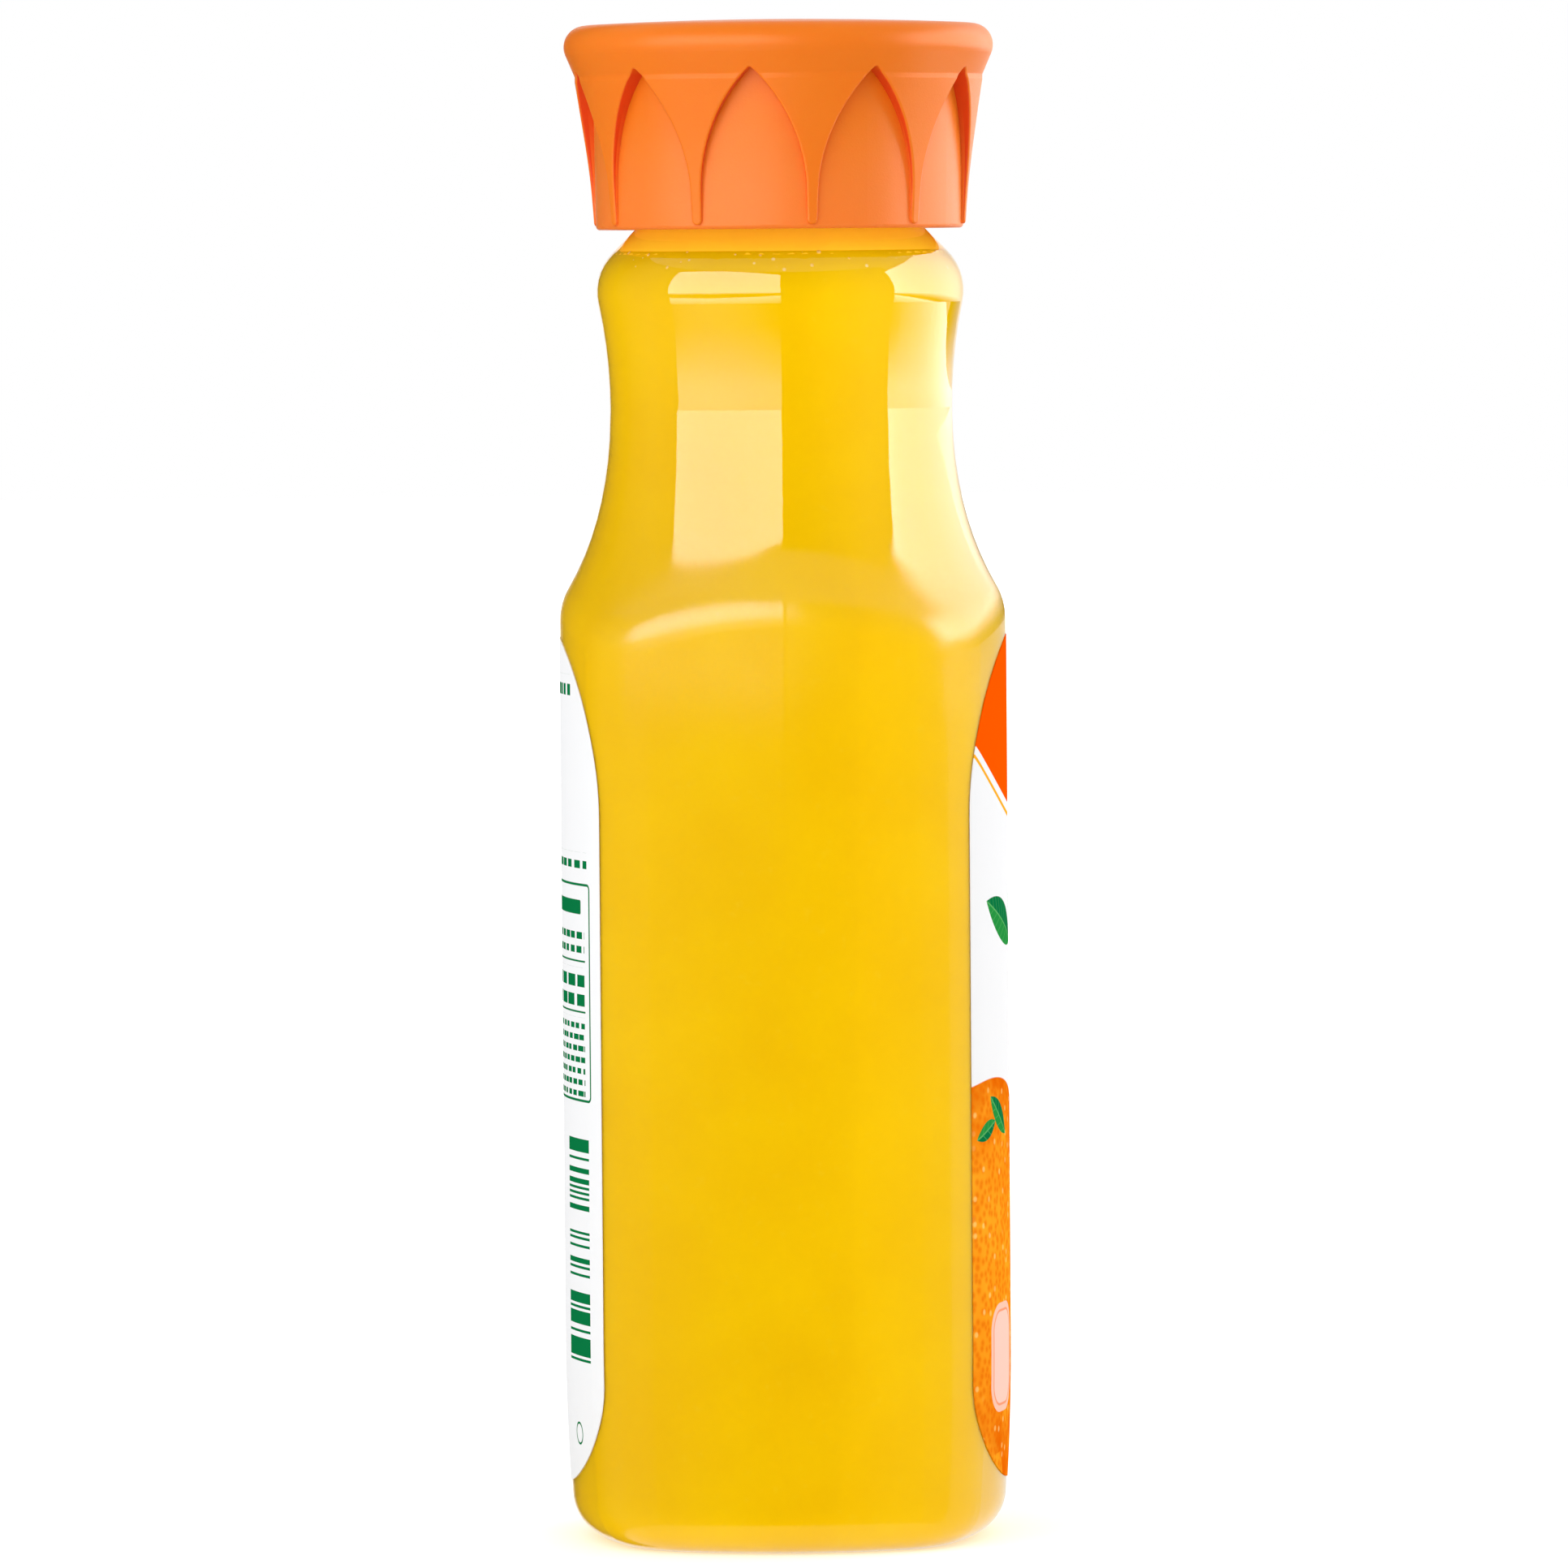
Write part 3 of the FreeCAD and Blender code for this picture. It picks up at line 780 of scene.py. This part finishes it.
class JUICE_OT_cap(bpy.types.Operator):
    """Give the cap its orange plastic"""
    bl_idname = "juice.cap"
    bl_label = "Cap"

    def execute(self, context):
        values = context.scene.cap_settings
        material, build, shader, place = new_material("orange_cap")
        grain = build.group("Moulded grain", Place=place, Grains_per_metre=5200.0)
        red, green, blue = values.colour
        paler = (min(1, red * 1.02), min(1, green * 1.06), min(1, blue * 1.3), 1)
        colour = build.mix(grain["Patches"], (*values.colour, 1), paler)
        x, y, z = build.split(place)
        # Painted shade on the recess walls, then painted light low on the recess floors.
        colour = build.mix(recess_wall_shade(build, x, y, z), colour, (*values.shade, 1))
        floors = recess_floor_sheen(build, x, y, z, values.floor_radius)
        build.put(build.mix(floors, colour, (*values.thin, 1)), shader["Base Color"])
        build.put(build.ramp(grain["Grain"], 0.3, 0.7, 0.28, 0.36), shader["Roughness"])
        build.put(build.bump(build.times(grain["Grain"], values.grain)), shader["Normal"])
        shader["Specular IOR Level"].default_value = 0.10
        shader["Subsurface Weight"].default_value = 0.25
        shader["Subsurface Radius"].default_value = (1.0, 0.25, 0.05)
        shader["Subsurface Scale"].default_value = 0.0015
        wear("cap", material)
        return {"FINISHED"}


# ---- labels ----------------------------------------------------------
class Artwork:
    """Shapes of a label's print, placed in millimetres."""

    def __init__(self, build, place, side):
        """Across runs to the right as the label is read; side is 1 on the front and -1 on the back."""
        self.build = build
        y, z = build.split(place)[1:]
        self.across = build.times(y, side / MM)
        self.up = build.times(z, 1 / MM)

    def field(self, centre, half, rounding, edge=0.08):
        return self.build.group(
            "Rounded field", Across=self.across, Up=self.up, Centre_across=centre[0],
            Centre_up=centre[1], Half_width=half[0], Half_height=half[1], Rounding=rounding, Edge=edge)

    def leaf(self, centre, turn, half_length, half_width):
        return self.build.group(
            "Leaf", Across=self.across, Up=self.up, Centre_across=centre[0], Centre_up=centre[1],
            Turn=turn, Half_length=half_length, Half_width=half_width)

    def dashes(self, centre, half, row_pitch, dash_pitch, share):
        """Rows of dashes within a field."""
        row = self.build.minus(self.up, centre[1] - half[1])
        rows = self.build.group("Dash rows", Along=self.across, Row=row, Row_pitch=row_pitch,
                                Dash_pitch=dash_pitch, Share=share)["Mask"]
        return self.build.times(rows, self.field(centre, half, 0.1)["Mask"])

    def inside(self, shape, inset):
        """1 inside a field's outline, drawn in by the inset."""
        return self.build.ramp(shape["Distance"], -inset - 0.05, -inset + 0.05, 1.0, 0.0)

    def outline(self, shape, half_width):
        """Line just inside a field's outline."""
        return self.build.line(self.build.plus(shape["Distance"], 0.2), half_width)


def orange_skin(build, shape, radius, tone, peel):
    """Colour of one printed orange, deeper towards its edge, with pores and glints."""
    bright = (PEEL_BRIGHT[0] * tone, PEEL_BRIGHT[1] * tone, 0.01, 1)
    deep = (PEEL_DEEP[0] * tone, PEEL_DEEP[1] * tone, 0.0, 1)
    depth = build.ramp(shape["Distance"], -radius, 0.0)
    colour = build.mix(build.math("POWER", depth, 2.5), bright, deep)
    patches = build.ramp(peel["Patches"], 0.4, 0.65, 0.0, 0.55)
    colour = build.mix(patches, colour, PEEL_PATCH)
    pores = build.times(build.minus(1.0, peel["Pores"]), 0.6)
    colour = build.mix(pores, colour, PEEL_PORE)
    return build.mix(build.times(peel["Glints"], 0.5), colour, PEEL_GLINT)


class JUICE_OT_front_label(bpy.types.Operator):
    """Print the front label: an orange head, leaves, oranges and a blank badge"""
    bl_idname = "juice.front_label"
    bl_label = "Front label"

    def execute(self, context):
        values = context.scene.label_settings
        material, build, shader, place = new_material("front_label_print")
        art = Artwork(build, place, 1)
        colour = (*values.film, 1)

        bow = build.times(build.times(art.across, art.across), HEAD_BOW)
        head_line = build.plus(bow, HEAD_EDGE)
        head = build.ramp(build.minus(art.up, head_line), -0.05, 0.05)
        colour = build.mix(head, colour, (*values.orange, 1))
        stripe_line = build.minus(art.up, build.minus(head_line, 1.5))
        colour = build.mix(build.line(stripe_line, 0.25), colour, STRIPE_INK)

        peel = build.group("Orange peel", Place=build.join(art.across, art.up, 0.0), Pore_size=1.15)
        for centre, radius, tone in ORANGES:
            disc = art.field(centre, (radius, radius), radius, 0.15)
            colour = build.mix(disc["Mask"], colour, orange_skin(build, disc, radius, tone, peel))

        for leaf in FRONT_LEAVES:
            shape = art.leaf(*leaf)
            green = build.mix(shape["Side"], (*values.green, 1), LEAF_LIT)
            green = build.mix(shape["Vein"], green, LEAF_VEIN)
            colour = build.mix(shape["Mask"], colour, green)

        badge = art.field((-9.8, 23.0), (5.0, 6.8), 3.6)
        colour = build.mix(badge["Mask"], colour, BADGE_EDGE)
        colour = build.mix(art.inside(badge, 0.8), colour, BADGE_LINE)
        colour = build.mix(art.inside(badge, 1.1), colour, BADGE_BLANK)

        build.put(colour, shader["Base Color"])
        make_matt(shader, 0.45)
        wear("label_front", material)
        return {"FINISHED"}


class JUICE_OT_back_label(bpy.types.Operator):
    """Print the back label: plain boxes, dashes and bars in green"""
    bl_idname = "juice.back_label"
    bl_label = "Back label"

    def execute(self, context):
        values = context.scene.label_settings
        material, build, shader, place = new_material("back_label_print")
        art = Artwork(build, place, -1)

        inks = [art.outline(art.field((0.0, 69.0), (17.3, 13.6), 0.8), 0.12)]
        inks += [art.field(*rule)["Mask"] for rule in BACK_RULES]
        inks += [art.dashes(*dashes) for dashes in BACK_DASHES]
        bar = build.math("FLOOR", build.math("DIVIDE", art.up, BAR_PITCH))
        code = build.node("ShaderNodeTexWhiteNoise", noise_dimensions="1D")
        build.put(bar, code.inputs["W"])
        bars = build.math("GREATER_THAN", code.outputs["Value"], 0.5)
        block = art.field((12.4, 36.7), (4.1, 14.3), 0.05)["Mask"]
        inks.append(build.times(bars, block))
        inks.append(art.outline(art.field((11.6, 14.0), (1.5, 1.5), 1.5), 0.1))
        for leaf in BACK_LEAVES:
            shape = art.leaf(*leaf)
            inks.append(build.times(shape["Mask"], build.minus(1.0, shape["Vein"])))
        ink = inks[0]
        for more in inks[1:]:
            ink = build.math("MAXIMUM", ink, more)

        build.put(build.mix(ink, (*values.film, 1), (*values.green, 1)), shader["Base Color"])
        make_matt(shader, 0.45)
        wear("label_back", material)
        return {"FINISHED"}


# ---- stage -----------------------------------------------------------
def seen_white(build):
    """1 for what the camera, reflections and clear plastic see, 0 for light that falls on things."""
    path = build.node("ShaderNodeLightPath").outputs
    seen = build.math("MAXIMUM", path["Is Camera Ray"], path["Is Glossy Ray"])
    return build.math("MAXIMUM", seen, path["Is Transmission Ray"])


def studio_place(azimuth, distance, height=0.0):
    """Point round the bottle, where azimuth 0 is the camera's side."""
    turn = math.radians(azimuth)
    return Vector((math.sin(turn) * distance, -math.cos(turn) * distance, height))


def hide_from(thing, *kinds):
    """Hides a thing from kinds of light rays."""
    for kind in kinds:
        setattr(thing, "visible_" + kind, False)


def add_softbox(name, azimuth, power):
    """Wide lamp that leans down to the bottle."""
    lamp = bpy.data.lights.new(name, "AREA")
    lamp.shape = "RECTANGLE"
    lamp.size, lamp.size_y = SOFTBOX_SIZE
    lamp.energy = power
    thing = link_object(name, lamp)
    place = studio_place(azimuth, SOFTBOX_DISTANCE, SOFTBOX_HEIGHT)
    facing = Vector((0, 0, SOFTBOX_AIM)) - place
    thing.matrix_world = Matrix.Translation(place) @ facing.to_track_quat("-Z", "Y").to_matrix().to_4x4()
    hide_from(thing, "camera", "glossy", "transmission")


def show_in_reflections(name, data):
    """Stage piece that only reflections see."""
    thing = link_object(name, data)
    hide_from(thing, "camera", "diffuse", "transmission", "volume_scatter", "shadow")


def add_card(name, azimuth, distance, low, high, half_width, brightness, fade, far_brightness=None):
    """Upright card that only reflections see, square to the line from the bottle.

    It fades out over the given height at its foot, and across its width to the far brightness."""
    middle = studio_place(azimuth, distance)
    turn = math.radians(azimuth)
    along = Vector((math.cos(turn), math.sin(turn), 0))
    data = bpy.data.meshes.new(name)
    corners = [middle + along * half_width * side + Vector((0, 0, height))
               for side, height in ((-1, low), (1, low), (1, high), (-1, high))]
    data.from_pydata(corners, [], [(0, 1, 2, 3)])
    material = bpy.data.materials.new(name)
    build = bare_tree(material)
    glow = build.node("ShaderNodeEmission")
    place = build.node("ShaderNodeTexCoord").outputs["Object"]
    rise = build.math("POWER", build.ramp(build.split(place)[2], low, low + fade), 2.0)
    strength = build.times(rise, brightness)
    if far_brightness is not None:
        across = build.dot(place, along)
        near = build.math("POWER", build.ramp(across, half_width, -half_width), 1.5)
        fall = build.ramp(near, 0.0, 1.0, far_brightness / brightness, 1.0)
        strength = build.times(strength, fall)
    build.put(strength, glow.inputs["Strength"])
    build.put(glow.outputs[0], build.node("ShaderNodeOutputMaterial").inputs["Surface"])
    data.materials.append(material)
    show_in_reflections(name, data)


def add_flag(name, start, end, distance, high):
    """Screen round part of the studio that only reflections see, from one azimuth to another.

    It is dark on the camera's side, a dim grey at the sides and dark again behind."""
    points, faces = [], []
    steps = max(2, round(abs(end - start) / 10))
    for step in range(steps + 1):
        azimuth = start + (end - start) * step / steps
        points += [studio_place(azimuth, distance, height) for height in (-high, high)]
        if step:
            faces.append((2 * step - 2, 2 * step, 2 * step + 1, 2 * step - 1))
    data = bpy.data.meshes.new(name)
    data.from_pydata(points, [], faces)
    material, build, shader, place = new_material(name)
    shader["Base Color"].default_value = (0.01, 0.01, 0.01, 1)
    shader["Specular IOR Level"].default_value = 0.0
    shader["Emission Color"].default_value = (1, 1, 1, 1)
    depth = build.split(place)[1]
    side = build.ramp(depth, -0.98 * distance, -0.5 * distance, 0.0, 0.35)
    behind = build.ramp(depth, 0.1 * distance, 0.6 * distance, 1.0, 0.1)
    build.put(build.times(side, behind), shader["Emission Strength"])
    data.materials.append(material)
    show_in_reflections(name, data)


def add_floor(values):
    """White floor that keeps the bottle's shadow and lights the juice from below."""
    data = bpy.data.meshes.new("floor")
    corners = [(x * FLOOR_HALF, y * FLOOR_HALF, 0) for x, y in ((-1, -1), (1, -1), (1, 1), (-1, 1))]
    data.from_pydata(corners, [], [(0, 1, 2, 3)])
    material, build, shader, place = new_material("white_floor")
    shader["Base Color"].default_value = (0.86, 0.86, 0.86, 1)
    make_matt(shader, 0.9)
    shader["Emission Color"].default_value = (1, 1, 1, 1)
    far = build.ramp(build.length(place), 0.04, 0.30, values.floor_shade, 1.0, smooth=True)
    through = build.node("ShaderNodeLightPath").outputs["Is Transmission Ray"]
    glow = build.math("MAXIMUM", far, build.times(through, values.floor_light))
    build.put(build.times(seen_white(build), glow), shader["Emission Strength"])
    data.materials.append(material)
    floor = link_object("floor", data)
    hide_from(floor, "glossy")


def add_surroundings(values):
    """White world that lights things a little less than it shows."""
    world = bpy.data.worlds.new("surroundings")
    bpy.context.scene.world = world
    build = bare_tree(world)
    sky = build.node("ShaderNodeBackground")
    sky.inputs["Color"].default_value = (1, 1, 1, 1)
    strength = build.ramp(seen_white(build), 0.0, 1.0, values.surroundings, 1.0)
    build.put(strength, sky.inputs["Strength"])
    build.put(sky.outputs[0], build.node("ShaderNodeOutputWorld").inputs["Surface"])


def add_lamps_and_cards():
    """Softboxes at both sides, and the cards and the dark screen that shape their reflections.

    The low cards stand close by, where only the lower neck mirrors them."""
    add_softbox("left_softbox", azimuth=-36.0, power=5.5)
    add_softbox("right_softbox", azimuth=112.0, power=5.6)
    add_card("left_card", azimuth=-36.5, distance=0.4, low=0.115, high=0.47, half_width=0.296,
             brightness=10.0, fade=0.03)
    add_card("left_low_card", azimuth=-33.0, distance=0.1, low=0.1165, high=0.1415, half_width=0.068,
             brightness=9.5, fade=0.025)
    add_card("right_card", azimuth=117.5, distance=0.4, low=0.10, high=0.47, half_width=0.366,
             brightness=15.0, fade=0.03, far_brightness=1.2)
    add_card("right_low_card", azimuth=117.5, distance=0.1, low=0.112, high=0.1405, half_width=0.104,
             brightness=14.0, fade=0.028, far_brightness=1.2)
    add_flag("studio_dark", start=-168.0, end=80.0, distance=2.5, high=2.2)


def add_camera(values):
    data = bpy.data.cameras.new("camera")
    data.lens = values.lens
    data.sensor_width = 36
    camera = link_object("camera", data)
    camera.matrix_world = (
        Matrix.Translation((0, -values.camera_distance, values.camera_height))
        @ Matrix.Rotation(math.pi / 2 - values.camera_pitch, 4, "X")
        @ Matrix.Rotation(values.camera_roll, 4, "Z"))
    bpy.context.scene.camera = camera


class JUICE_OT_stage(bpy.types.Operator):
    """Set the floor, the lamps, the surroundings and the camera"""
    bl_idname = "juice.stage"
    bl_label = "Stage"

    def execute(self, context):
        values = context.scene.stage_settings
        add_floor(values)
        add_surroundings(values)
        add_lamps_and_cards()
        add_camera(values)
        context.scene.view_settings.view_transform = "Standard"
        return {"FINISHED"}


class JUICE_PT_panel(bpy.types.Panel):
    """Values and steps of the bottle of orange juice"""
    bl_label = "Bottle of orange juice"
    bl_idname = "JUICE_PT_panel"
    bl_space_type = "VIEW_3D"
    bl_region_type = "UI"
    bl_category = "Juice"

    def draw(self, context):
        for operator, settings in STEPS:
            box = self.layout.box()
            box.operator(operator.bl_idname)
            if settings:
                group = getattr(context.scene, settings)
                for name in group.__annotations__:
                    box.prop(group, name)


SHARED_EFFECTS = (
    build_field_group, build_leaf_group, build_peel_group, build_grain_group, build_dash_group)
SETTINGS = (
    ("bottle_settings", BottleSettings), ("juice_settings", JuiceSettings), ("cap_settings", CapSettings),
    ("label_settings", LabelSettings), ("stage_settings", StageSettings))
STEPS = (
    (JUICE_OT_bottle, "bottle_settings"), (JUICE_OT_juice, "juice_settings"), (JUICE_OT_film, None),
    (JUICE_OT_bubbles, None), (JUICE_OT_cap, "cap_settings"), (JUICE_OT_front_label, "label_settings"),
    (JUICE_OT_back_label, None), (JUICE_OT_stage, "stage_settings"))


def register():
    for name, settings in SETTINGS:
        bpy.utils.register_class(settings)
        setattr(bpy.types.Scene, name, PointerProperty(type=settings))
    for operator, _ in STEPS:
        bpy.utils.register_class(operator)
    bpy.utils.register_class(JUICE_PT_panel)


def unregister():
    bpy.utils.unregister_class(JUICE_PT_panel)
    for operator, _ in reversed(STEPS):
        bpy.utils.unregister_class(operator)
    for name, settings in reversed(SETTINGS):
        delattr(bpy.types.Scene, name)
        bpy.utils.unregister_class(settings)


def main():
    register()
    for build_group in SHARED_EFFECTS:
        build_group()
    for operator, _ in STEPS:
        group, name = operator.bl_idname.split(".")
        getattr(getattr(bpy.ops, group), name)()


if __name__ == "__main__":
    main()
